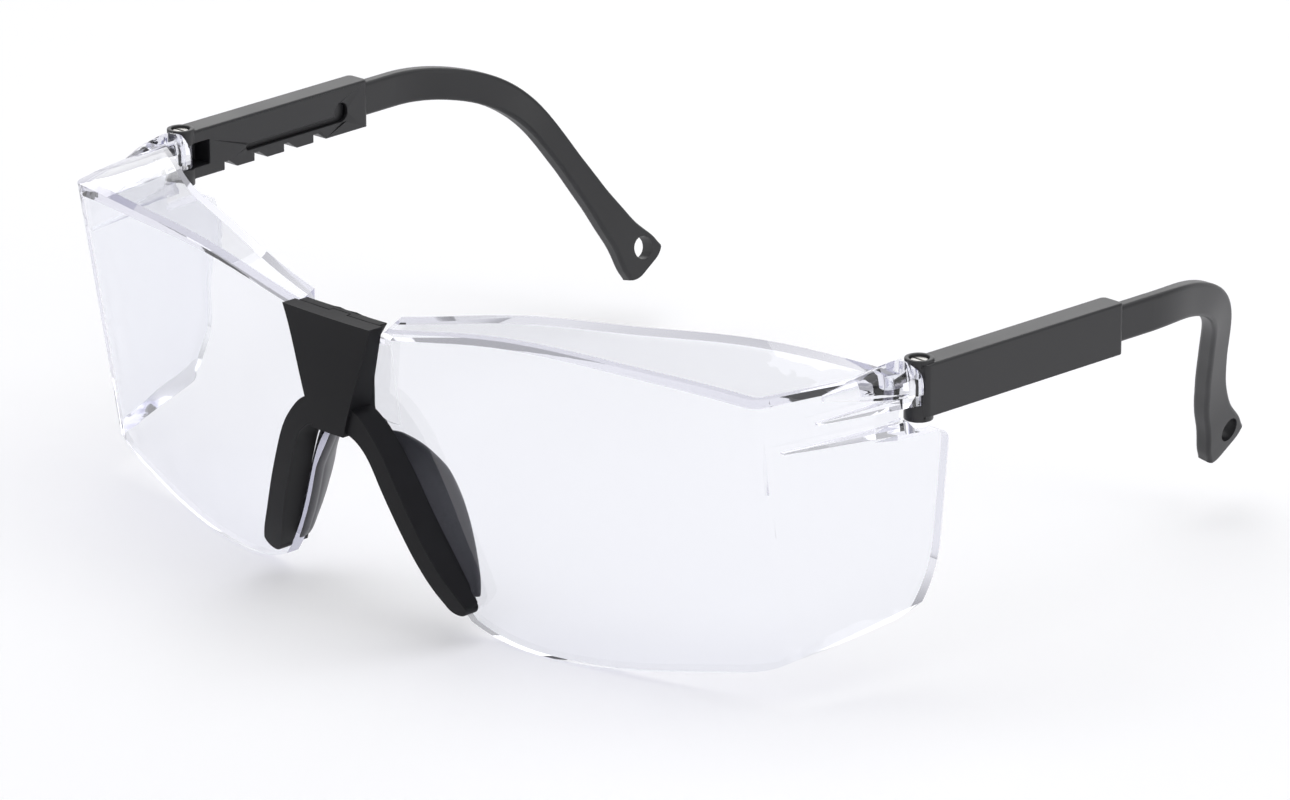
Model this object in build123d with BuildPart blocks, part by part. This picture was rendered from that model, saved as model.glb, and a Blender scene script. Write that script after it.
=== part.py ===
from build123d import *
import os
from math import cos, radians, sin, tan

os.makedirs("parts", exist_ok=True)

# Safety glasses: X across the face (the wearer's left is +X), Y to the rear, Z up.
# The origin is midway between front and rear, at the height of the lens's lowest edge.

# One-piece wraparound lens
lens_wall = 2.2
corner_half = 67.4        # middle to the bend where the front turns into a side shield
side_flare = 6.8          # a side shield's rear end stands this far outside the bend
side_depth = 45.0         # how far a side runs back from the front's middle
side_swell = 4.2          # and its middle this far
brow_radius = 200.0       # front curve at brow height
low_radius = 174.0        # front curve at the bottom edge
brow_height = 45.2
lean = 7.9                # the front leans back towards the bottom, degrees
bend_radius = 4.0
hinge_setback = 36.8      # front's middle, at brow height, to the hinge axis
shield_top = 35.2         # top of the shield behind the hinge housing
shield_rear = 41.6        # front's middle to the shield's rear edge
shield_corner = 1.6       # rounding of the shield's top rear corner

# Bridge, in front of and behind the lens
fit_gap = 0.05            # pieces that are assembled face to face
cover_depth = 2.5
clip_depth = 1.0
roof_bevel_depth = 1.6
bridge_top = 43.9
bridge_top_half = 8.6
bridge_low_half = 3.0
bridge_waist = 27.2
plate_step = 0.5          # the bridge's plate stands this proud of its arms
seat_recess = 0.15        # the clip sits this deep in the rear of the lens
post_radius = 1.0
post_half_span = 2.2
post_height = 36.0

# Nose pads
pad_wall = 1.5
pad_root = 0.1            # lens's rear face to the pad's root

# Hinges
hinge_outset = 5.6        # hinge axis outside the bend
hinge_middle = 42.05      # height of the lug's middle
lug_height = 3.5
lug_radius = 1.6
lug_gap = 0.12            # above and below the lug
knuckle_radius = 2.0
knuckle_clear = 0.35
upper_knuckle = 2.3
lower_knuckle = 2.5
screw_radius = 0.7
screw_head_radius = 1.25
screw_head = 0.8
screw_head_recess = 0.3   # head's top below the upper knuckle's
screw_slot_width = 0.4
screw_slot_depth = 0.35
screw_play = 0.05         # lug's bore around the screw
screw_grip = 0.02         # knuckles' bore around the screw
lug_play = 0.15           # sleeve's pocket around the lug
head_play = 0.12

# Temple sleeve
splay = 2.0               # the temples open towards the rear, degrees
sleeve_inner = 1.6        # hinge axis to the inner face
sleeve_outer = 2.4        # hinge axis to the outer face
sleeve_front = -1.0
sleeve_length = 38.2
sleeve_low = 38.5
sleeve_high = 45.8
pocket_depth = 4.3        # hinge axis to the rear wall of the lug's pocket
channel_start = 5.4
channel_play = 0.15

# Sliding tip
blade_wall = 2.2
blade_height = 5.2
blade_top = 44.95
blade_start = 12.2
index_pitch = 6.1
index_first = 7.3         # front wall of the first notch
notch_length = 2.6
notch_depth = 1.2
nub_height = 0.3
nub_play = 0.15
cord_hole_radius = 1.8
cord_hole_inset = 3.0     # tip's end to the hole's centre
cord_hole_shift = 1.1     # hole's centre, behind the tip's centre line
tip_reach = 47.0          # sleeve's rear end to the tip's rear end

side_rear_half = corner_half + side_flare
side_bulge = corner_half + side_swell
hinge_half = corner_half + hinge_outset
temple_reach = sleeve_front + sleeve_length + tip_reach
front_y = cover_depth / 2 - (hinge_setback + temple_reach) / 2
hinge_y = front_y + hinge_setback
run = tan(radians(lean))


def lens_radius(height):
    return low_radius + (brow_radius - low_radius) * height / brow_height


def middle_y(height):
    """Front surface on the symmetry plane."""
    return front_y + (brow_height - height) * run


def surface_y(x, height):
    return middle_y(height) + x * x / (2 * lens_radius(height))


# The lens starts as a tall block with the plan outline of the front and the sides
block_low = -6.0
block_high = 58.0


def block_outline(height):
    start = middle_y(height)
    bend = surface_y(corner_half, height)
    half_way = (bend + start + side_depth) / 2
    ThreePointArc((-corner_half, bend), (0, start), (corner_half, bend))
    ThreePointArc((corner_half, bend), (side_bulge, half_way), (side_rear_half, start + side_depth))
    Line((side_rear_half, start + side_depth), (-side_rear_half, start + side_depth))
    ThreePointArc((-side_rear_half, start + side_depth), (-side_bulge, half_way), (-corner_half, bend))


with BuildPart() as outer_block:
    for height in (block_low, block_high):
        with BuildSketch(Plane.XY.offset(height)) as outline:
            with BuildLine():
                block_outline(height)
            make_face()
            fillet(outline.vertices().group_by(Axis.Y)[0], radius=bend_radius)
    loft(ruled=True)

with BuildPart() as inner_block:
    for height in (block_low, block_high):
        with BuildSketch(Plane.XY.offset(height)) as outline:
            with BuildLine():
                block_outline(height)
            make_face()
            fillet(outline.vertices().group_by(Axis.Y)[0], radius=bend_radius)
            offset(amount=-lens_wall, kind=Kind.INTERSECTION)
            with Locations((0, middle_y(height) + side_depth)):
                Rectangle(2 * (side_rear_half - lens_wall), 2 * lens_wall + 1)
    loft(ruled=True)

# Brow: height of the front edge, and how steeply the ledge rises behind it, along the half width
brow_stations = [(0, 41.4, 0.45), (16, 44.3, 0.45), (32, 46.6, 0.36), (48, 46.5, 0.27),
                 (60, 45.8, 0.18), (66, 45.1, 0.11), (72, 44.0, 0.04),
                 (side_rear_half + 5.8, 43.2, 0.0)]
brow_ahead = 8.0
brow_behind = 60.0


def above_brow(lower):
    with BuildPart() as cutter:
        for x, z_front, rise in brow_stations:
            y_front = surface_y(x, z_front)
            with BuildSketch(Plane.YZ.offset(x)):
                with BuildLine():
                    Polyline(
                        (y_front - brow_ahead, z_front - lower - rise * brow_ahead),
                        (y_front + brow_behind, z_front - lower + rise * brow_behind),
                        (y_front + brow_behind, block_high + 20),
                        (y_front - brow_ahead, block_high + 20),
                        close=True,
                    )
                make_face()
        loft()
        mirror(about=Plane.YZ)
    return cutter.part


brow_cutter = above_brow(0)
cavity = inner_block.part - above_brow(lens_wall)

# Rear edge of the ledge in plan, from the bridge out to the hinge
ledge_rear = [(0, 3.7), (10.0, 4.0), (20.4, 5.4), (31.9, 8.5), (43.3, 13.0), (53.9, 19.3),
              (64.0, 26.3), (70.0, 31.4)]
hinge_clear = 1.6         # hinge axis to the rear face of the hinge housing

# Lower edge of the lens, seen from the front, from the nose to the side's rear
low_edge = [(18.6, 2.4), (25.0, 0.4), (33.0, 0.0), (45.0, 1.1), (56.0, 3.1), (66.4, 5.9),
            (70.0, 8.6), (73.0, 11.6), (78.0, 16.5)]
# Edge of the nose opening, from its top to the lens's nose corner
nose_edge = [(0, 28.2), (4.6, 26.0), (9.6, 18.6), (12.6, 11.8), (15.6, 6.4), (18.6, 2.4)]
far = 200.0

with BuildPart() as ledge_trim:
    with BuildSketch(Plane.XY.offset(shield_top)):
        with BuildLine():
            rear_line = Spline([(x, front_y + y) for x, y in ledge_rear])
            Polyline(
                rear_line @ 1,
                (hinge_half + 1.2, hinge_y - hinge_clear),
                (side_rear_half + 20, hinge_y - hinge_clear),
                (side_rear_half + 20, far),
                (0, far),
                rear_line @ 0,
            )
        make_face()
    extrude(amount=block_high)
    mirror(about=Plane.YZ)

with BuildPart() as low_trim:
    with BuildSketch(Plane.XZ):
        with BuildLine():
            low_line = Spline(low_edge)
            Polyline(low_line @ 1, (far, low_edge[-1][1]), (far, -far), (low_edge[0][0], -far), low_line @ 0)
        make_face()
        with BuildLine():
            nose_line = Spline(nose_edge)
            Polyline(nose_line @ 1, (low_edge[0][0], -far), (0, -far), nose_line @ 0)
        make_face()
    extrude(amount=far, both=True)
    mirror(about=Plane.YZ)

with BuildPart() as shield_trim:
    with BuildSketch(Plane.YZ):
        with BuildLine():
            shield_back = front_y + shield_rear
            Spline((shield_back - 6.6, 7.0), (shield_back - 2.4, 12.3), (shield_back - 0.4, 19.0))
            Line((shield_back - 0.4, 19.0), (shield_back + 0.5, shield_top - shield_corner))
            RadiusArc(
                (shield_back + 0.5, shield_top - shield_corner),
                (shield_back + 0.5 - shield_corner, shield_top),
                -shield_corner,
            )
            Polyline(
                (shield_back + 0.5 - shield_corner, shield_top),
                (shield_back - 4, shield_top),
                (shield_back - 4, far),
                (far, far),
                (far, -far),
                (shield_back - 6.6, -far),
                (shield_back - 6.6, 7.0),
            )
        make_face()
    extrude(amount=far, both=True)

# Hinge housing: a domed boss that grows out of each side shield towards the hinge.
# Each station is rearward and outward of the hinge axis, half width, top and lower edge.
housing_stations = [
    (-15.5, -2.6, 0.5, 44.0, 43.2),
    (-11.0, -0.5, 1.6, 45.1, 42.6),
    (-7.0, 1.1, 2.4, 45.8, 42.2),
    (-4.0, 2.0, 2.9, 46.1, 42.0),
    (-hinge_clear, 2.3, 3.1, 46.1, 41.9),
]
pocket_wall = 1.0
pocket_length = 4.4
pocket_width = 3.4
pocket_floor = 43.4
# Two slim facets run forward from the hinge below the boss and die out in the shield's wall.
# Each end is rearward of the axis, then outward of it: inner and outer face at the foot and
# outer face at the top, then the heights of foot and top.
upper_facet = [(-16.4, -4.2, -2.8, -2.9, 40.1, 40.3), (-hinge_clear, -1.4, 1.9, 1.4, 40.3, 41.7)]
lower_facet = [(-21.3, -5.4, -4.0, -4.1, 36.9, 37.1), (-hinge_clear, -1.4, 1.8, 0.4, 36.6, 37.9)]
web_half = 1.3
lug_low = hinge_middle - lug_height / 2
lug_high = hinge_middle + lug_height / 2

with BuildPart() as hinge_housing:
    for rear, outward, half, top, low in housing_stations:
        with BuildSketch(Plane.XZ.offset(-hinge_y - rear)):
            with BuildLine():
                outer = hinge_half + outward
                shoulder = top - half
                Line((outer - 2 * half, low), (outer, low))
                Line((outer, low), (outer, shoulder))
                ThreePointArc((outer, shoulder), (outer - half, top), (outer - 2 * half, shoulder))
                Line((outer - 2 * half, shoulder), (outer - 2 * half, low))
            make_face()
    loft()
    with BuildSketch(Plane.XY.offset(pocket_floor)):
        with Locations((hinge_half - 0.8, hinge_y - hinge_clear - pocket_wall - pocket_length / 2)):
            RectangleRounded(pocket_width, pocket_length, 1.2)
    extrude(amount=far, mode=Mode.SUBTRACT)
    with Locations((hinge_half, hinge_y, hinge_middle)):
        Cylinder(knuckle_radius + knuckle_clear, 2 * lug_height + 8, mode=Mode.SUBTRACT)

with BuildPart() as facets:
    for facet in (upper_facet, lower_facet):
        for rear, inner, foot_outer, top_outer, foot, top in facet:
            with BuildSketch(Plane((hinge_half, hinge_y + rear, 0), x_dir=(1, 0, 0), z_dir=(0, -1, 0))):
                with BuildLine():
                    Polyline((inner, foot), (foot_outer, foot), (top_outer, top), (inner, top), close=True)
                make_face()
        loft(ruled=True)
    with Locations((hinge_half, hinge_y, hinge_middle)):
        Cylinder(knuckle_radius + knuckle_clear, 2 * lug_height + 8, mode=Mode.SUBTRACT)

with BuildPart() as lug:
    with BuildSketch(Plane.XY.offset(lug_low)):
        with Locations((hinge_half, hinge_y)):
            Circle(lug_radius)
        with Locations((hinge_half, hinge_y - hinge_clear - 0.6)):
            Rectangle(2 * web_half, 2 * (hinge_clear + 0.6))
    extrude(amount=lug_height)
    with Locations((hinge_half, hinge_y, hinge_middle)):
        Cylinder(screw_radius + screw_play, 2 * lug_height, mode=Mode.SUBTRACT)

# Bridge pieces follow the curve of the lens. A band is the space between two such curves.
# Each station is height, then the first and the second curve behind the lens's front.
def conforming_band(stations):
    half = 30.0
    with BuildPart() as band:
        for height, start, end in stations:
            edge = surface_y(half, height)
            middle = middle_y(height)
            with BuildSketch(Plane.XY.offset(height)):
                with BuildLine():
                    ThreePointArc((-half, edge + start), (0, middle + start), (half, edge + start))
                    Line((half, edge + start), (half, edge + end))
                    ThreePointArc((half, edge + end), (0, middle + end), (-half, edge + end))
                    Line((-half, edge + end), (-half, edge + start))
                make_face()
        loft(ruled=len(stations) == 2)
    return band.part


def even_band(start, end):
    return conforming_band([(block_low, start, end), (block_high, start, end)])


seat_band = even_band(lens_wall - seat_recess, 25.0)
clip_band = even_band(lens_wall + fit_gap, lens_wall + clip_depth)
roof_band = even_band(fit_gap, lens_wall + clip_depth - roof_bevel_depth)
hook_band = even_band(fit_gap, lens_wall + clip_depth)
pad_band = even_band(lens_wall + pad_root, 30.0)

# Saddle in the brow where the bridge's roof passes over the lens
saddle_height = 41.2
post_hole = post_radius + fit_gap

with BuildPart() as clip_seat:
    with BuildSketch(Plane.XZ):
        with Locations((0, bridge_top)):
            Rectangle(2 * (bridge_top_half + fit_gap), 2 * (bridge_top - bridge_waist - 2))
    extrude(amount=far, both=True)
    add(seat_band, mode=Mode.INTERSECT)

with BuildPart() as lens:
    add(outer_block.part)
    add(cavity, mode=Mode.SUBTRACT)
    add(brow_cutter, mode=Mode.SUBTRACT)
    add(ledge_trim.part, mode=Mode.SUBTRACT)
    add(low_trim.part, mode=Mode.SUBTRACT)
    add(shield_trim.part, mode=Mode.SUBTRACT)
    add(hinge_housing.part)
    mirror(hinge_housing.part, about=Plane.YZ)
    add(facets.part)
    mirror(facets.part, about=Plane.YZ)
    add(lug.part)
    mirror(lug.part, about=Plane.YZ)
    with Locations((0, front_y, saddle_height + 10)):
        Box(2 * (bridge_top_half + fit_gap), 30, 20, mode=Mode.SUBTRACT)
    add(clip_seat.part, mode=Mode.SUBTRACT)
    with BuildSketch(Plane.XZ):
        with Locations((-post_half_span, post_height), (post_half_span, post_height)):
            Circle(post_hole)
    extrude(amount=far, both=True, mode=Mode.SUBTRACT)
lens.part.label = "lens"
export_step(lens.part, "parts/lens.step")


# The cover's front stands further ahead of the lens at the nose: height and depth
cover_stations = [(block_low, 0.6), (4.0, 2.6), (10.0, 4.1), (18.0, 4.7), (26.0, 4.6), (33.0, 3.9),
                  (bridge_top, cover_depth), (block_high, cover_depth)]
cover_band = conforming_band([(height, -depth, -fit_gap) for height, depth in cover_stations])
arm_band = conforming_band([(height, plate_step - depth, -fit_gap) for height, depth in cover_stations])
# Outline of one arm, seen from the front
arm_outer = [(3.9, 31.5), (5.9, 30.6), (7.5, 29.1), (9.2, 27.0), (11.8, 22.0), (14.5, 16.0), (17.4, 10.0),
             (19.2, 7.0), (20.2, 5.2)]
arm_inner = [(2.6, 27.7), (5.0, 26.9), (6.9, 25.0), (8.4, 22.0), (11.1, 16.0), (13.8, 10.0), (15.3, 7.0),
             (16.6, 4.9)]
arm_end = [(19.7, 4.1), (18.2, 3.7)]
tab_half = 1.7
tab_depth = 0.9
tab_height = 0.9

with BuildPart() as arms:
    with BuildSketch(Plane.XZ):
        with BuildLine():
            outside = Spline(arm_outer)
            inside = Spline(arm_inner)
            Spline([outside @ 1, *arm_end, inside @ 1])
            Polyline(inside @ 0, (0, bridge_waist + 0.3), (0, arm_outer[0][1]), outside @ 0)
        make_face()
        mirror(about=Plane.YZ)
    extrude(amount=far, both=True)
    add(arm_band, mode=Mode.INTERSECT)

with BuildPart() as bridge_cover:
    with BuildSketch(Plane.XZ):
        with BuildLine():
            Polyline(
                (0, bridge_top),
                (bridge_top_half, bridge_top),
                (bridge_low_half, bridge_waist),
                (0, bridge_waist),
                close=True,
            )
        make_face()
        mirror(about=Plane.YZ)
    extrude(amount=far, both=True)
    add(cover_band, mode=Mode.INTERSECT)
    add(arms.part)
    with BuildSketch(Plane.XZ.offset(-front_y + cover_depth / 2)):
        with Locations((-post_half_span, post_height), (post_half_span, post_height)):
            Circle(post_radius)
    extrude(amount=-(cover_depth / 2 + lens_wall + clip_depth + 1.2))
    with Locations((0, front_y + (tab_depth - cover_depth / 2) / 2, bridge_top - tab_height / 2)):
        Box(2 * tab_half, tab_depth + cover_depth / 2, tab_height)
bridge_cover.part.label = "bridge_cover"
export_step(bridge_cover.part, "parts/bridge_cover.step")

# Rear plate: a roof over the lens, a plate behind it and two rails that the pads are held on
rail_width = 0.9
rail_gap = 0.1
plate_top_half = 4.6
plate_low_half = 2.6
plate_low = bridge_waist + 1.0
roof_half = 8.0
roof_foot_half = 6.0
roof_bevel_height = 1.9
pad_line = [(5.6, 29.2), (7.4, 27.0), (10.0, 22.5), (11.7, 19.0), (13.2, 16.0), (14.8, 13.0),
            (16.4, 10.0), (17.9, 7.0), (18.8, 5.0)]
pad_slope = (0.9, 0.43)   # outward across the pad's line


def strip_points(shift, points):
    return [(x + shift * pad_slope[0], z + shift * pad_slope[1]) for x, z in points]


with BuildPart() as roof:
    with BuildSketch(Plane.XZ):
        with BuildLine():
            Polyline(
                (-roof_half, bridge_top),
                (roof_half, bridge_top),
                (roof_foot_half, saddle_height + fit_gap),
                (-roof_foot_half, saddle_height + fit_gap),
                close=True,
            )
        make_face()
    extrude(amount=far, both=True)
    add(roof_band, mode=Mode.INTERSECT)

with BuildPart() as hook:
    with Locations((0, front_y, (saddle_height + fit_gap + bridge_top) / 2)):
        Box(2 * plate_top_half, 40, bridge_top - saddle_height - fit_gap)
    add(hook_band, mode=Mode.INTERSECT)
    with BuildSketch(Plane.YZ):
        with BuildLine():
            roof_rear = middle_y(bridge_top) + lens_wall + clip_depth
            Polyline(
                (roof_rear - roof_bevel_depth, bridge_top),
                (roof_rear + 0.2, bridge_top - roof_bevel_height),
                (roof_rear + 5, bridge_top - roof_bevel_height),
                (roof_rear + 5, bridge_top),
                close=True,
            )
        make_face()
    extrude(amount=far, both=True, mode=Mode.SUBTRACT)

with BuildPart() as bridge_clip:
    with BuildSketch(Plane.XZ):
        with BuildLine():
            Polyline(
                (0, bridge_top - roof_bevel_height),
                (plate_top_half, bridge_top - roof_bevel_height),
                (plate_low_half, plate_low),
                (0, plate_low),
                close=True,
            )
        make_face()
        with BuildLine():
            rail_out = Spline(strip_points(-pad_wall / 2 - rail_gap, pad_line))
            rail_in = Spline(strip_points(-pad_wall / 2 - rail_gap - rail_width, pad_line))
            Line(rail_in @ 1, rail_out @ 1)
            Polyline(rail_in @ 0, (0, plate_low), (0, plate_low + 2.4), rail_out @ 0)
        make_face()
        mirror(about=Plane.YZ)
    extrude(amount=far, both=True)
    add(clip_band, mode=Mode.INTERSECT)
    add(roof.part)
    add(hook.part)
    with Locations((0, front_y, bridge_top - tab_height / 2)):
        Box(
            2 * (tab_half + rail_gap),
            2 * (tab_depth + rail_gap),
            tab_height + 2 * rail_gap,
            mode=Mode.SUBTRACT,
        )
    with BuildSketch(Plane.XZ):
        with Locations((-post_half_span, post_height), (post_half_span, post_height)):
            Circle(post_hole)
    extrude(amount=far, both=True, mode=Mode.SUBTRACT)
bridge_clip.part.label = "bridge_clip"
export_step(bridge_clip.part, "parts/bridge_clip.step")

# Nose pads: leaf-shaped flaps that run to the rear along the outer side of the rails
pad_rear = [(3.4, 30.2), (5.0, 27.2), (6.3, 25.0), (7.9, 22.0), (9.1, 19.0), (9.8, 16.0), (9.95, 13.0),
            (9.7, 10.0), (8.9, 7.0), (7.9, 4.9)]

with BuildPart() as nose_pad_left:
    with BuildSketch(Plane.XZ):
        with BuildLine():
            pad_in = Spline(strip_points(-pad_wall / 2, pad_line))
            pad_out = Spline(strip_points(pad_wall / 2, pad_line))
            Line(pad_in @ 1, pad_out @ 1)
            Line(pad_in @ 0, pad_out @ 0)
        make_face()
    extrude(amount=far, both=True)
    add(pad_band, mode=Mode.INTERSECT)
    with BuildSketch(Plane.YZ):
        with BuildLine():
            leaf = Spline([(front_y + y, z) for y, z in pad_rear])
            Polyline(leaf @ 1, (front_y, pad_rear[-1][1] - 4), (front_y, pad_rear[0][1] + 4), leaf @ 0)
        make_face()
    extrude(amount=far, both=True, mode=Mode.INTERSECT)
nose_pad_left.part.label = "nose_pad_left"
export_step(nose_pad_left.part, "parts/nose_pad_left.step")

with BuildPart() as nose_pad_right:
    mirror(nose_pad_left.part, about=Plane.YZ)
nose_pad_right.part.label = "nose_pad_right"
export_step(nose_pad_right.part, "parts/nose_pad_right.step")

# The left temple's own plane: x outward, y along the sleeve, at the hinge axis
temple = Plane(
    origin=(hinge_half, hinge_y, 0),
    x_dir=(cos(radians(splay)), -sin(radians(splay)), 0),
    z_dir=(0, 0, 1),
)
temple_side = Plane(origin=temple.origin, x_dir=temple.y_dir, z_dir=temple.x_dir)
sleeve_width = sleeve_inner + sleeve_outer
sleeve_rear = sleeve_front + sleeve_length
sleeve_middle = (sleeve_outer - sleeve_inner) / 2
upper_low = lug_high + lug_gap
upper_high = upper_low + upper_knuckle
lower_high = lug_low - lug_gap
lower_low = lower_high - lower_knuckle
head_seat = upper_high - screw_head - screw_head_recess
blade_low = blade_top - blade_height
channel_width = blade_wall + 2 * channel_play
channel_low = blade_low - channel_play
channel_high = blade_top + channel_play
groove_width = 1.6
groove_depth = nub_height + nub_play
slot_start = 12.2
slot_height = 40.9
slot_width = 1.0
hook_place = 31.4
hook_width = 2.6
hook_top = 43.4
positions = 4

with BuildPart() as temple_sleeve_left:
    with BuildSketch(temple.offset(sleeve_low)) as plan:
        with Locations((sleeve_middle, (sleeve_front + sleeve_rear) / 2)):
            Rectangle(sleeve_width, sleeve_length)
        fillet(plan.vertices().group_by(Axis.Y)[-2:], radius=0.9)
    extrude(amount=sleeve_high - sleeve_low)
    fillet(temple_sleeve_left.edges().filter_by(Plane.XY).group_by(Axis.Z)[-1], radius=0.35)
    with BuildSketch(temple.offset(lower_low)):
        Circle(knuckle_radius)
    extrude(amount=upper_high - lower_low)
    with BuildSketch(temple.offset(lug_low - lug_gap)):
        with Locations((lug_radius + lug_play - 5, pocket_depth - 10)):
            Rectangle(10, 20)
        Circle(lug_radius + lug_play)
    extrude(amount=lug_height + 2 * lug_gap, mode=Mode.SUBTRACT)
    with BuildSketch(temple.offset(lower_low)):
        Circle(screw_radius + screw_grip)
    extrude(amount=far, mode=Mode.SUBTRACT)
    with BuildSketch(temple.offset(head_seat)):
        Circle(screw_head_radius + head_play)
    extrude(amount=far, mode=Mode.SUBTRACT)
    with BuildSketch(temple.offset(channel_low)):
        with Locations((sleeve_middle, (channel_start + sleeve_rear + 5) / 2)):
            Rectangle(channel_width, sleeve_rear + 5 - channel_start)
    extrude(amount=channel_high - channel_low, mode=Mode.SUBTRACT)
    with BuildSketch(temple.offset(channel_low - groove_depth)):
        with Locations((sleeve_middle, (channel_start + sleeve_rear + 5) / 2)):
            Rectangle(groove_width, sleeve_rear + 5 - channel_start)
    extrude(amount=groove_depth + 0.5, mode=Mode.SUBTRACT)
    with BuildSketch(temple_side.offset(-sleeve_inner - 1)):
        for i in range(positions):
            start = index_first + i * index_pitch
            with BuildLine():
                Polyline(
                    (start, sleeve_low - 1),
                    (start, sleeve_low + notch_depth),
                    (start + 0.9, sleeve_low + notch_depth),
                    (start + notch_length, sleeve_low),
                    (start + notch_length, sleeve_low - 1),
                    close=True,
                )
            make_face()
    extrude(amount=1 + sleeve_inner + sleeve_middle + channel_width / 2, mode=Mode.SUBTRACT)
    with BuildSketch(temple_side.offset(-sleeve_inner - 1)):
        with Locations(((slot_start + hook_place) / 2, slot_height)):
            SlotCenterToCenter(hook_place - slot_start, slot_width)
        with Locations((hook_place, (slot_height - slot_width / 2 + hook_top) / 2)):
            SlotOverall(hook_top - slot_height + slot_width / 2, hook_width, rotation=90)
    extrude(amount=1.5 + sleeve_width / 2 - channel_width / 2, mode=Mode.SUBTRACT)
temple_sleeve_left.part.label = "temple_sleeve_left"
export_step(temple_sleeve_left.part, "parts/temple_sleeve_left.step")

with BuildPart() as hinge_screw_left:
    with BuildSketch(temple.offset(head_seat)):
        Circle(screw_head_radius)
    extrude(amount=screw_head)
    chamfer(hinge_screw_left.edges().group_by(Axis.Z)[-1], length=0.15)
    with BuildSketch(temple.offset(head_seat + screw_head - screw_slot_depth)):
        Rectangle(2 * screw_head_radius + 1, screw_slot_width)
    extrude(amount=1, mode=Mode.SUBTRACT)
    with BuildSketch(temple.offset(lower_low + 0.2)):
        Circle(screw_radius)
    extrude(amount=head_seat - lower_low - 0.2)
hinge_screw_left.part.label = "hinge_screw_left"
export_step(hinge_screw_left.part, "parts/hinge_screw_left.step")

# Tip: a straight blade in the sleeve, then a curved blade that drops behind the ear.
# The blade stays straight for as much of it as can slide into the sleeve.
straight_end = index_pitch + 0.6
blade_middle = blade_top - blade_height / 2
# Each station is outward, rearward of the sleeve's end, and height.
tip_stations = [(sleeve_middle, straight_end, blade_middle), (-2.0, 18.0, 41.2), (-4.3, 24.6, 38.7),
                (-6.8, 28.9, 35.0), (-9.4, 31.6, 30.4), (-12.2, 34.2, 25.0), (-15.2, 37.6, 18.4),
                (-18.0, 43.2, 9.6)]
# Blade height and thickness, at even steps along the curve
tip_sizes = [(blade_height, blade_wall), (5.0, 2.3), (4.8, 2.4), (4.7, 2.5), (4.4, 2.6), (4.2, 2.7),
             (4.6, 2.7), (5.8, 2.6), (9.0, 2.4)]
tip_sections = 24
blade_corner = 0.6


def in_temple(station):
    outward, rearward, height = station
    return temple.from_local_coords(Vector(outward, sleeve_rear + rearward, height))


tip_places = [in_temple(station) for station in tip_stations]
with BuildLine() as tip_line:
    Spline(tip_places, tangents=[temple.y_dir, tip_places[-1] - tip_places[-2]])
tip_path = tip_line.line


def between(values, t):
    """Value at t from 0 to 1 along evenly spread values."""
    place = t * (len(values) - 1)
    index = min(int(place), len(values) - 2)
    return values[index] + (values[index + 1] - values[index]) * (place - index)


def tip_plane(t):
    along = tip_path % t
    outward = temple.x_dir - along * temple.x_dir.dot(along)
    return Plane(origin=tip_path @ t, x_dir=outward, z_dir=along)


paddle = tip_plane(1)
paddle_flat = Plane(origin=paddle.origin, x_dir=paddle.z_dir, z_dir=paddle.x_dir)
paddle_height = tip_sizes[-1][0]

with BuildPart() as temple_tip_left:
    for index in range(tip_sections + 1):
        t = index / tip_sections
        with BuildSketch(tip_plane(t)):
            RectangleRounded(
                between([size[1] for size in tip_sizes], t),
                between([size[0] for size in tip_sizes], t),
                blade_corner,
            )
    loft()
    with BuildSketch(tip_plane(0)):
        RectangleRounded(blade_wall, blade_height, blade_corner)
    extrude(amount=-(sleeve_rear + straight_end - blade_start))
    with BuildSketch(temple.offset(blade_low - nub_height)):
        with Locations((sleeve_middle, index_first + index_pitch + notch_length / 2)):
            RectangleRounded(groove_width - 2 * nub_play, notch_length - 2 * nub_play, 0.4)
    extrude(amount=nub_height + 1)
    with BuildSketch(paddle_flat):
        Rectangle(12, 2.5 * paddle_height)
        with Locations((-7.0, 0)):
            RectangleRounded(14.0, paddle_height + 1.2, 3.4, mode=Mode.SUBTRACT)
    extrude(amount=6, both=True, mode=Mode.SUBTRACT)
    with BuildSketch(paddle_flat):
        with Locations((-cord_hole_inset, cord_hole_shift)):
            Circle(cord_hole_radius)
    extrude(amount=6, both=True, mode=Mode.SUBTRACT)
temple_tip_left.part.label = "temple_tip_left"
export_step(temple_tip_left.part, "parts/temple_tip_left.step")

with BuildPart() as temple_sleeve_right:
    mirror(temple_sleeve_left.part, about=Plane.YZ)
temple_sleeve_right.part.label = "temple_sleeve_right"
export_step(temple_sleeve_right.part, "parts/temple_sleeve_right.step")

with BuildPart() as hinge_screw_right:
    mirror(hinge_screw_left.part, about=Plane.YZ)
hinge_screw_right.part.label = "hinge_screw_right"
export_step(hinge_screw_right.part, "parts/hinge_screw_right.step")

with BuildPart() as temple_tip_right:
    mirror(temple_tip_left.part, about=Plane.YZ)
temple_tip_right.part.label = "temple_tip_right"
export_step(temple_tip_right.part, "parts/temple_tip_right.step")
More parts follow.
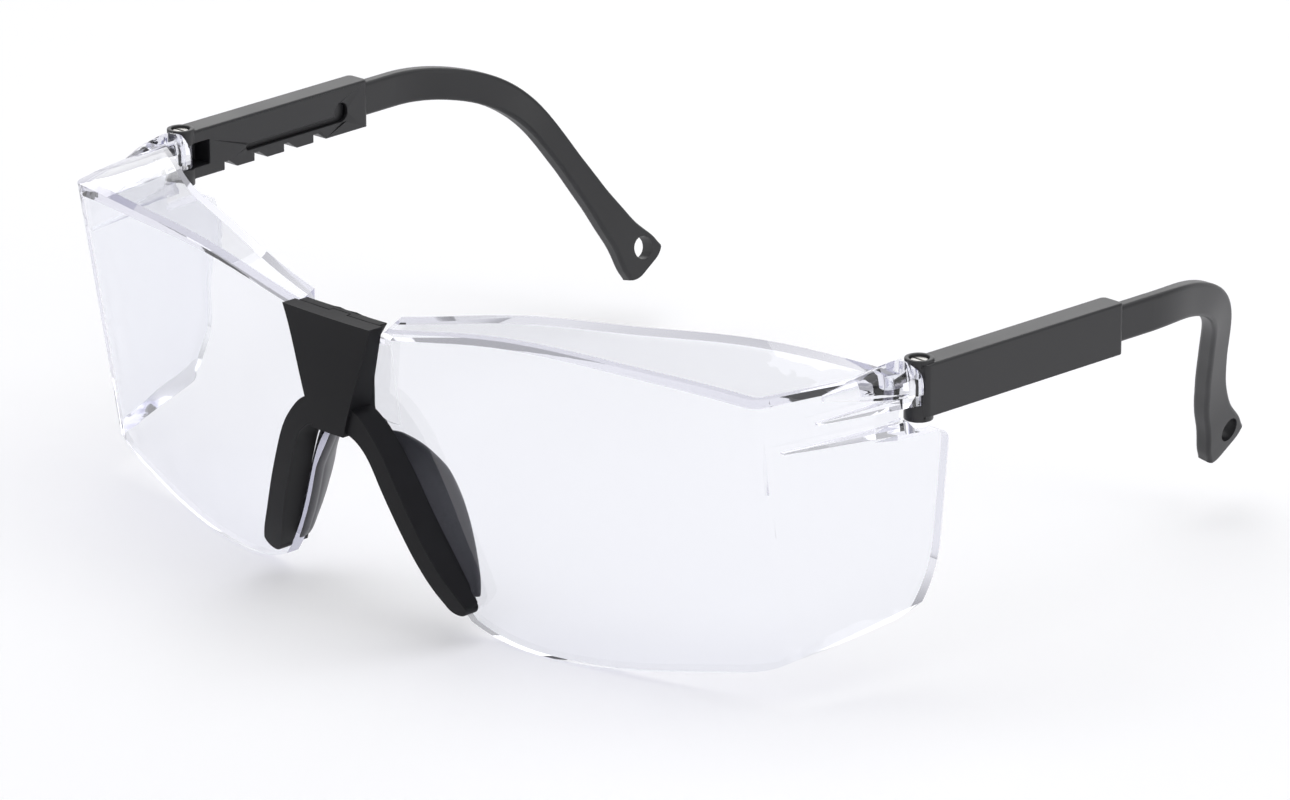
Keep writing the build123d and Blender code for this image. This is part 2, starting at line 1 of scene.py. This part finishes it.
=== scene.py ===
import bmesh
import bpy
import math
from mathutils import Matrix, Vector


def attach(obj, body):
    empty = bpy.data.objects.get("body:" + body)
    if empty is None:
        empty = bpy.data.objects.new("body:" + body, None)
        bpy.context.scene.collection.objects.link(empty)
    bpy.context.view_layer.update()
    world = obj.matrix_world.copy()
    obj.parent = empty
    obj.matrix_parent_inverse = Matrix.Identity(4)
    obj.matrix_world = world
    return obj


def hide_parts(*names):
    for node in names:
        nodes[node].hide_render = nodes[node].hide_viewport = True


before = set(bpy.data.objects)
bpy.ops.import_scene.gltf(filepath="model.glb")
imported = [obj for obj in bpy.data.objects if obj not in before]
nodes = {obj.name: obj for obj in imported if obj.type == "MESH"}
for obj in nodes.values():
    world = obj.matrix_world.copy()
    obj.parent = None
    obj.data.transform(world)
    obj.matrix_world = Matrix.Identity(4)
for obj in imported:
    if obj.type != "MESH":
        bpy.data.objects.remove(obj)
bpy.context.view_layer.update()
mm = 0.001

# camera: a long lens above eye height, off the wearer's left front
cameraSetup = {
    "place": (0.6453, -0.6529, 0.3388),
    "lookAt": (0.0, 0.00005, 0.0166),
    "focalLength": 190.7,
    "sensorWidth": 36.0,
}


def aimAt(item, place, target):
    item.location = place
    item.rotation_mode = "QUATERNION"
    item.rotation_quaternion = (Vector(target) - Vector(place)).to_track_quat("-Z", "Y")


cameraData = bpy.data.cameras.new("productCamera")
cameraData.lens = cameraSetup["focalLength"]
cameraData.sensor_width = cameraSetup["sensorWidth"]
cameraData.clip_start = 0.05
cameraData.clip_end = 20
camera = bpy.data.objects.new("productCamera", cameraData)
bpy.context.collection.objects.link(camera)
aimAt(camera, cameraSetup["place"], cameraSetup["lookAt"])
bpy.context.scene.camera = camera
print("camera placed")


def toLinear(hexColour):
    channels = [int(hexColour[i:i + 2], 16) / 255 for i in (1, 3, 5)]
    return [c / 12.92 if c <= 0.04045 else ((c + 0.055) / 1.055) ** 2.4 for c in channels] + [1.0]


def addNode(tree, kind, settings=None, links=None):
    # settings are node properties by name, or input sockets by number or name after "in:"
    node = tree.nodes.new(kind)
    for name, value in (settings or {}).items():
        if name.startswith("in:"):
            socket = name[3:]
            node.inputs[int(socket) if socket.isdigit() else socket].default_value = value
        else:
            setattr(node, name, value)
    for socket, source in (links or {}).items():
        tree.links.new(source, node.inputs[socket])
    return node


def newMaterial(name):
    material = bpy.data.materials.new(name)
    material.use_nodes = True
    material.node_tree.nodes.clear()
    return material, material.node_tree


# Injection-moulded polycarbonate, hard coated: crisp reflections, a cool grey-violet
# only where the light travels along the wall, at the rims.
polycarbonateLook = {
    "ior": 1.586,
    "roughness": 0.015,
    "tint": "#f7f8fb",
    "passingTint": "#eeeef3",
    "trappedAfter": 1.5,
    "absorbColour": "#c9c6dc",
    "absorbPerMetre": 14.0,
    "flowWaveMm": 9.0,      # faint flow waves left by the mould
    "flowWaveHeight": 0.02,
}


def clearPolycarbonate():
    look = polycarbonateLook
    material, tree = newMaterial("clearPolycarbonate")
    place = addNode(tree, "ShaderNodeTexCoord")
    waves = addNode(tree, "ShaderNodeTexNoise", {"in:Scale": 1 / (look["flowWaveMm"] * mm), "in:Detail": 1.0},
                    {"Vector": place.outputs["Object"]})
    bump = addNode(tree, "ShaderNodeBump", {"in:Strength": look["flowWaveHeight"], "in:Distance": 0.02 * mm},
                   {"Height": waves.outputs[0]})
    plastic = addNode(tree, "ShaderNodeBsdfPrincipled",
                      {"in:Base Color": toLinear(look["tint"]), "in:Roughness": look["roughness"],
                       "in:IOR": look["ior"], "in:Transmission Weight": 1.0},
                      {"Normal": bump.outputs[0]})
    clear = addNode(tree, "ShaderNodeBsdfTransparent", {"in:Color": toLinear(look["passingTint"])})
    # lamps shine through, and so does light that has already been trapped between the faces
    rays = addNode(tree, "ShaderNodeLightPath")
    trapped = addNode(tree, "ShaderNodeMath", {"operation": "GREATER_THAN", "in:1": look["trappedAfter"]},
                      {0: rays.outputs["Glossy Depth"]})
    passing = addNode(tree, "ShaderNodeMath", {"operation": "MAXIMUM"},
                      {0: rays.outputs["Is Shadow Ray"], 1: trapped.outputs[0]})
    mix = addNode(tree, "ShaderNodeMixShader", None,
                  {0: passing.outputs[0], 1: plastic.outputs[0], 2: clear.outputs[0]})
    depth = addNode(tree, "ShaderNodeVolumeAbsorption",
                    {"in:Color": toLinear(look["absorbColour"]), "in:Density": look["absorbPerMetre"]})
    addNode(tree, "ShaderNodeOutputMaterial", None, {"Surface": mix.outputs[0], "Volume": depth.outputs[0]})
    return material


# Black nylon, moulded in a fine-spark tool: semi-matt with a faint grain and a broad soft sheen.
templeNylonLook = {
    "deep": "#161618",
    "pale": "#1f1f22",
    "roughLow": 0.34,
    "roughHigh": 0.46,
    "specular": 0.5,
    "grainMm": 0.35,        # real spark grain is 0.1 mm; drawn coarser so that it shows
    "grainHeightMm": 0.012,
    "cloudMm": 14.0,
    "ior": 1.53,
}
# The bridge uses a darker, duller copy of the same nylon: its deeper black is painted shade for the less lit bridge
# front, and it reflects little.
shadedBridgeNylonLook = {
    # base colours darker than the temple nylon's: painted shade
    "deep": "#101012",
    "pale": "#17171a",
    "roughLow": 0.48,
    "roughHigh": 0.60,
    "specular": 0.16,
    "grainMm": 0.28,
    "grainHeightMm": 0.010,
    "cloudMm": 9.0,
    "ior": 1.53,
}


def blackNylon(name, look):
    material, tree = newMaterial(name)
    place = addNode(tree, "ShaderNodeTexCoord")
    cloud = addNode(tree, "ShaderNodeTexNoise", {"in:Scale": 1 / (look["cloudMm"] * mm), "in:Detail": 3.0},
                    {"Vector": place.outputs["Object"]})
    grain = addNode(tree, "ShaderNodeTexNoise", {"in:Scale": 1 / (look["grainMm"] * mm), "in:Detail": 2.0},
                    {"Vector": place.outputs["Object"]})
    colour = addNode(tree, "ShaderNodeValToRGB", None, {0: cloud.outputs[0]})
    colour.color_ramp.elements[0].color = toLinear(look["deep"])
    colour.color_ramp.elements[1].color = toLinear(look["pale"])
    rough = addNode(tree, "ShaderNodeMapRange",
                    {"in:To Min": look["roughLow"], "in:To Max": look["roughHigh"]}, {0: cloud.outputs[0]})
    bump = addNode(tree, "ShaderNodeBump", {"in:Strength": 0.35, "in:Distance": look["grainHeightMm"] * mm},
                   {"Height": grain.outputs[0]})
    plastic = addNode(tree, "ShaderNodeBsdfPrincipled",
                      {"in:IOR": look["ior"], "in:Specular IOR Level": look["specular"]},
                      {"Base Color": colour.outputs[0], "Roughness": rough.outputs[0], "Normal": bump.outputs[0]})
    addNode(tree, "ShaderNodeOutputMaterial", None, {"Surface": plastic.outputs[0]})
    return material


# Soft thermoplastic rubber, moulded: dull, dark grey, slightly dusty where it curves away.
rubberLook = {
    "deep": "#434347",
    "pale": "#525257",
    "roughness": 0.62,
    "sheen": 0.25,
    "grainMm": 0.30,
    "grainHeightMm": 0.02,
    "ior": 1.50,
}


def softRubber():
    look = rubberLook
    material, tree = newMaterial("softMouldedRubber")
    place = addNode(tree, "ShaderNodeTexCoord")
    grain = addNode(tree, "ShaderNodeTexNoise", {"in:Scale": 1 / (look["grainMm"] * mm), "in:Detail": 2.0},
                    {"Vector": place.outputs["Object"]})
    colour = addNode(tree, "ShaderNodeValToRGB", None, {0: grain.outputs[0]})
    colour.color_ramp.elements[0].color = toLinear(look["deep"])
    colour.color_ramp.elements[1].color = toLinear(look["pale"])
    bump = addNode(tree, "ShaderNodeBump", {"in:Strength": 0.4, "in:Distance": look["grainHeightMm"] * mm},
                   {"Height": grain.outputs[0]})
    rubber = addNode(tree, "ShaderNodeBsdfPrincipled",
                     {"in:IOR": look["ior"], "in:Roughness": look["roughness"], "in:Sheen Weight": look["sheen"]},
                     {"Base Color": colour.outputs[0], "Normal": bump.outputs[0]})
    addNode(tree, "ShaderNodeOutputMaterial", None, {"Surface": rubber.outputs[0]})
    return material


# Nickel-plated steel screw: bright turned metal with fine circular tool marks.
steelLook = {"colour": "#c9c7c3", "roughLow": 0.22, "roughHigh": 0.38, "turnMm": 0.08}


def nickelPlatedSteel():
    look = steelLook
    material, tree = newMaterial("nickelPlatedSteel")
    place = addNode(tree, "ShaderNodeTexCoord")
    marks = addNode(tree, "ShaderNodeTexNoise", {"in:Scale": 1 / (look["turnMm"] * mm), "in:Detail": 2.0},
                    {"Vector": place.outputs["Object"]})
    rough = addNode(tree, "ShaderNodeMapRange",
                    {"in:To Min": look["roughLow"], "in:To Max": look["roughHigh"]}, {0: marks.outputs[0]})
    metal = addNode(tree, "ShaderNodeBsdfPrincipled",
                    {"in:Base Color": toLinear(look["colour"]), "in:Metallic": 1.0}, {"Roughness": rough.outputs[0]})
    addNode(tree, "ShaderNodeOutputMaterial", None, {"Surface": metal.outputs[0]})
    return material


polycarbonate = clearPolycarbonate()
templeNylon = blackNylon("sparkTextureNylon", templeNylonLook)
# the bridge's copy of the nylon, darkened with painted shade
shadedBridgeNylon = blackNylon("bridgeNylonPaintedShade", shadedBridgeNylonLook)
rubber = softRubber()
steel = nickelPlatedSteel()
print("materials made")

# moulded pieces: corners eased by what the mould leaves, in millimetres
finishes = {
    "lens": (polycarbonate, 0.0),
    "bridge_cover": (shadedBridgeNylon, 0.0),
    "bridge_clip": (shadedBridgeNylon, 0.12),
    "temple_sleeve_left": (templeNylon, 0.12),
    "temple_sleeve_right": (templeNylon, 0.12),
    "temple_tip_left": (templeNylon, 0.0),
    "temple_tip_right": (templeNylon, 0.0),
    "hinge_screw_left": (steel, 0.0),
    "hinge_screw_right": (steel, 0.0),
}
sharpFrom = math.radians(35)


def easeCorners(item, width):
    weld = item.modifiers.new("joinFaces", "WELD")
    weld.merge_threshold = 0.002 * mm
    bevel = item.modifiers.new("easedCorners", "BEVEL")
    bevel.width = width * mm
    bevel.segments = 2
    bevel.limit_method = "ANGLE"
    bevel.angle_limit = sharpFrom
    bevel.use_clamp_overlap = False
    bevel.miter_outer = "MITER_ARC"
    bevel.harden_normals = False
    normals = item.modifiers.new("evenShading", "WEIGHTED_NORMAL")
    normals.keep_sharp = False
    normals.weight = 60


for name, (material, width) in finishes.items():
    item = nodes[name]
    for slotIndex in range(len(item.material_slots)):
        item.material_slots[slotIndex].material = material
    if width:
        easeCorners(item, width)
print("moulded pieces finished")

# nose pads: soft leaf-shaped flaps with a root bead, a flex crease and a rolled rear rim
padShape = {
    # each station down the pad, in millimetres: lens's nose edge and flap's rear edge outward,
    # height, lens's rear face and flap's rear edge to the rear
    "stations": [
        (3.60, 7.20, 27.6, -54.30, -53.20), (4.60, 9.20, 26.2, -54.15, -51.60), (5.70, 10.60, 24.5, -53.87, -50.20),
        (7.00, 11.80, 22.5, -53.53, -48.95), (8.35, 12.65, 20.5, -53.20, -48.25), (9.65, 13.35, 18.5, -52.86, -47.80),
        (10.55, 14.05, 16.5, -52.51, -47.60), (11.40, 14.85, 14.5, -52.15, -47.60), (12.30, 15.65, 12.5, -51.79, -47.75),
        (13.30, 16.50, 10.5, -51.41, -48.05), (14.25, 17.30, 8.8, -51.09, -48.45), (15.10, 18.00, 7.2, -50.83, -48.95),
        (16.20, 18.70, 5.6, -50.50, -49.75),
    ],
    "rootAhead": 2.30,          # the root lies along the nose edge of the lens from here
    "rootInside": 0.80,         # and this far towards the nose
    "bendBehind": 0.45,
    "halfWall": 0.52,
    "rings": 56,
    "endTaper": 0.07,           # share of the length over which each end rounds off
    # share of the depth and of the half wall, once round the section
    "section": [
        (0.00, 0.0), (0.01, 0.55), (0.05, 0.88), (0.11, 1.0), (0.17, 0.98), (0.22, 0.80), (0.25, 0.58),
        (0.29, 0.50), (0.33, 0.60), (0.37, 0.82), (0.46, 0.92), (0.62, 0.95), (0.76, 0.86), (0.84, 0.72),
        (0.87, 0.66), (0.90, 0.72), (0.95, 0.74), (0.99, 0.50), (1.00, 0.0), (0.99, -0.50), (0.95, -0.74),
        (0.90, -0.76), (0.84, -0.82), (0.70, -0.96), (0.50, -1.0), (0.34, -0.96), (0.27, -0.84), (0.23, -0.66),
        (0.20, -0.64), (0.16, -0.82), (0.11, -0.96), (0.05, -0.86), (0.01, -0.55),
    ],
}


def alongStations(points, share):
    # smooth curve through evenly spread points
    place = share * (len(points) - 1)
    index = min(int(place), len(points) - 2)
    t = place - index
    around = [points[min(max(index + step, 0), len(points) - 1)] for step in (-1, 0, 1, 2)]
    return [
        b + 0.5 * t * (c - a + t * (2 * a - 5 * b + 4 * c - d + t * (3 * (b - c) + d - a)))
        for a, b, c, d in zip(*around)
    ]


def makePad(name, side, body, node):
    shape = padShape
    corners = []
    for ring in range(shape["rings"] + 1):
        share = ring / shape["rings"]
        edge, outward, height, front, rear = alongStations(shape["stations"], share)
        root = Vector((edge - shape["rootInside"], front - shape["rootAhead"]))
        bend = Vector((edge - shape["rootInside"], front + shape["bendBehind"]))
        tip = Vector((outward, rear))
        fromEnd = min(share, 1 - share) / shape["endTaper"]
        swell = math.sqrt(max(0.0, 1 - (1 - min(fromEnd, 1.0)) ** 2)) * 0.85 + 0.15
        for depth, wall in shape["section"]:
            # from the root straight back, then in one soft bend out to the rear rim
            place = (1 - depth) ** 2 * root + 2 * depth * (1 - depth) * bend + depth ** 2 * tip
            along = ((1 - depth) * (bend - root) + depth * (tip - bend)).normalized()
            offset = wall * swell * shape["halfWall"]
            corners.append((
                side * (place.x + offset * along.y) * mm,
                (place.y - offset * along.x) * mm,
                height * mm,
            ))
    count = len(shape["section"])
    faces = [
        (ring * count + i, ring * count + (i + 1) % count, (ring + 1) * count + (i + 1) % count, (ring + 1) * count + i)
        for ring in range(shape["rings"]) for i in range(count)
    ]
    faces.append(tuple(reversed(range(count))))
    faces.append(tuple(shape["rings"] * count + i for i in range(count)))
    if side < 0:
        faces = [tuple(reversed(face)) for face in faces]
    mesh = bpy.data.meshes.new(name)
    mesh.from_pydata(corners, [], faces)
    shell = bmesh.new()
    shell.from_mesh(mesh)
    bmesh.ops.recalc_face_normals(shell, faces=shell.faces)
    shell.to_mesh(mesh)
    shell.free()
    mesh.shade_smooth()
    mesh.materials.append(rubber)
    pad = bpy.data.objects.new(name, mesh)
    bpy.context.collection.objects.link(pad)
    smooth = pad.modifiers.new("moulded", "SUBSURF")
    smooth.levels = 1
    smooth.render_levels = 1
    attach(pad, body)
    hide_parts(node)
    return pad


makePad("noseFlapLeft", 1, "front", "nose_pad_left")
makePad("noseFlapRight", -1, "front", "nose_pad_right")
print("nose pads made")

# studio: white cyclorama floor, a broad soft box overhead, one each side and one behind
studio = {
    "floor": "#fbfbfc",
    "floorSize": 6.0,
    "worldLow": "#ffffff",
    "worldHigh": "#bbbbbd",
    "worldStrength": 1.0,
}
floorMesh = bpy.data.meshes.new("studioFloor")
half = studio["floorSize"] / 2
floorMesh.from_pydata([(-half, -half, 0), (half, -half, 0), (half, half, 0), (-half, half, 0)], [], [(0, 1, 2, 3)])
floor = bpy.data.objects.new("studioFloor", floorMesh)
bpy.context.collection.objects.link(floor)
floor.location.z = -0.0003
floorMaterial, floorTree = newMaterial("paintedFloor")
floorPaint = addNode(floorTree, "ShaderNodeBsdfPrincipled",
                     {"in:Base Color": toLinear(studio["floor"]), "in:Roughness": 0.9, "in:Specular IOR Level": 0.2})
addNode(floorTree, "ShaderNodeOutputMaterial", None, {"Surface": floorPaint.outputs[0]})
floorMesh.materials.append(floorMaterial)

world = bpy.data.worlds.new("studioWorld")
bpy.context.scene.world = world
world.use_nodes = True
world.node_tree.nodes.clear()
skyTree = world.node_tree
direction = addNode(skyTree, "ShaderNodeTexCoord")
split = addNode(skyTree, "ShaderNodeSeparateXYZ", None, {0: direction.outputs["Generated"]})
ramp = addNode(skyTree, "ShaderNodeValToRGB", None, {0: split.outputs[2]})
ramp.color_ramp.elements[0].position = 0.08
ramp.color_ramp.elements[0].color = toLinear(studio["worldLow"])
ramp.color_ramp.elements[1].position = 0.35
ramp.color_ramp.elements[1].color = toLinear(studio["worldHigh"])
sky = addNode(skyTree, "ShaderNodeBackground", {"in:Strength": studio["worldStrength"]}, {"Color": ramp.outputs[0]})
addNode(skyTree, "ShaderNodeOutputWorld", None, {"Surface": sky.outputs[0]})

softBoxes = {
    "topBox": {"place": (0.1, 0.1, 1.1), "size": (1.4, 1.4), "watts": 7.8},
    "leftBox": {"place": (-0.9, -0.7, 0.7), "size": (0.7, 0.7), "watts": 1.2},
    "rightBox": {"place": (1.2, 0.3, 0.6), "size": (0.5, 0.9), "watts": 1.6},
    "backBox": {"place": (-0.9, 1.0, 0.55), "size": (1.0, 0.6), "watts": 2.6},
}
for name, box in softBoxes.items():
    lampData = bpy.data.lights.new(name, "AREA")
    lampData.shape = "RECTANGLE"
    lampData.size, lampData.size_y = box["size"]
    lampData.energy = box["watts"]
    lamp = bpy.data.objects.new(name, lampData)
    bpy.context.collection.objects.link(lamp)
    aimAt(lamp, box["place"], (0, 0, 0.02))
bpy.context.scene.view_settings.view_transform = "Standard"
print("studio lit")
